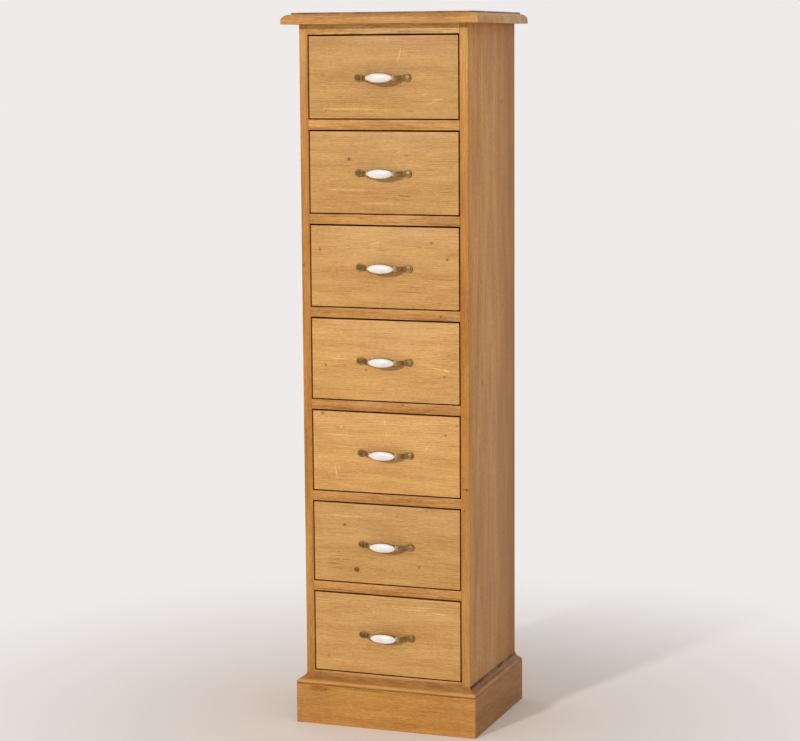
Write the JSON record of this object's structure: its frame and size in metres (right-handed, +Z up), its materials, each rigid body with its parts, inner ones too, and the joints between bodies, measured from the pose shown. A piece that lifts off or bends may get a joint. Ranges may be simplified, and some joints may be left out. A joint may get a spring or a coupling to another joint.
{
  "type": "semainier",
  "caption": "Tall narrow wooden chest of stacked drawers with a moulded top, mitred plinth and bow handles with oval ceramic inserts.",
  "frame": {"origin": "on the floor, at the middle of the outer box", "axes": "+Z up; the drawer fronts face -Y and the back faces +Y; +X is to the right as one faces the drawers"},
  "size_m": [0.4, 0.32, 1.408],
  "materials": {
    "body_wood": "waxed honey softwood, satin",
    "front_wood": "waxed honey softwood, satin",
    "plinth_wood": "waxed honey softwood, satin",
    "plain_wood": "planed bare softwood",
    "back_wood": "bare thin board",
    "bronze": "old bronze, brushed",
    "ceramic": "white glaze"
  },
  "bodies": {
    "carcass": {"top_board": "body_wood", "left_side": "body_wood", "right_side": "body_wood", "sub_top": "body_wood", "divider_1": "body_wood", "divider_2": "body_wood", "divider_3": "body_wood", "divider_4": "body_wood", "divider_5": "body_wood", "divider_6": "body_wood", "bottom_board": "body_wood", "back_panel": "back_wood", "plinth_front": "plinth_wood", "plinth_left": "plinth_wood", "plinth_right": "plinth_wood", "plinth_back": "plinth_wood", "glue_block_left": "plain_wood", "glue_block_right": "plain_wood", "drawer_stop_1": "plain_wood", "drawer_stop_2": "plain_wood", "drawer_stop_3": "plain_wood", "drawer_stop_4": "plain_wood", "drawer_stop_5": "plain_wood", "drawer_stop_6": "plain_wood", "drawer_stop_7": "plain_wood"},
    "drawer_1": {"drawer_1_front": "front_wood", "drawer_1_frame": "plain_wood", "drawer_1_bottom": "plain_wood", "handle_1_bow": "bronze", "handle_1_insert": "ceramic"},
    "drawer_2": {"drawer_2_front": "front_wood", "drawer_2_frame": "plain_wood", "drawer_2_bottom": "plain_wood", "handle_2_bow": "bronze", "handle_2_insert": "ceramic"},
    "drawer_3": {"drawer_3_front": "front_wood", "drawer_3_frame": "plain_wood", "drawer_3_bottom": "plain_wood", "handle_3_bow": "bronze", "handle_3_insert": "ceramic"},
    "drawer_4": {"drawer_4_front": "front_wood", "drawer_4_frame": "plain_wood", "drawer_4_bottom": "plain_wood", "handle_4_bow": "bronze", "handle_4_insert": "ceramic"},
    "drawer_5": {"drawer_5_front": "front_wood", "drawer_5_frame": "plain_wood", "drawer_5_bottom": "plain_wood", "handle_5_bow": "bronze", "handle_5_insert": "ceramic"},
    "drawer_6": {"drawer_6_front": "front_wood", "drawer_6_frame": "plain_wood", "drawer_6_bottom": "plain_wood", "handle_6_bow": "bronze", "handle_6_insert": "ceramic"},
    "drawer_7": {"drawer_7_front": "front_wood", "drawer_7_frame": "plain_wood", "drawer_7_bottom": "plain_wood", "handle_7_bow": "bronze", "handle_7_insert": "ceramic"}
  },
  "joints": [
    {"name": "drawer_1_slide", "type": "slide", "parent": "carcass", "child": "drawer_1", "axis": [0, -1, 0], "range_m": [0, 0.2]},
    {"name": "drawer_2_slide", "type": "slide", "parent": "carcass", "child": "drawer_2", "axis": [0, -1, 0], "range_m": [0, 0.2]},
    {"name": "drawer_3_slide", "type": "slide", "parent": "carcass", "child": "drawer_3", "axis": [0, -1, 0], "range_m": [0, 0.2]},
    {"name": "drawer_4_slide", "type": "slide", "parent": "carcass", "child": "drawer_4", "axis": [0, -1, 0], "range_m": [0, 0.2]},
    {"name": "drawer_5_slide", "type": "slide", "parent": "carcass", "child": "drawer_5", "axis": [0, -1, 0], "range_m": [0, 0.2]},
    {"name": "drawer_6_slide", "type": "slide", "parent": "carcass", "child": "drawer_6", "axis": [0, -1, 0], "range_m": [0, 0.2]},
    {"name": "drawer_7_slide", "type": "slide", "parent": "carcass", "child": "drawer_7", "axis": [0, -1, 0], "range_m": [0, 0.2]}
  ]
}
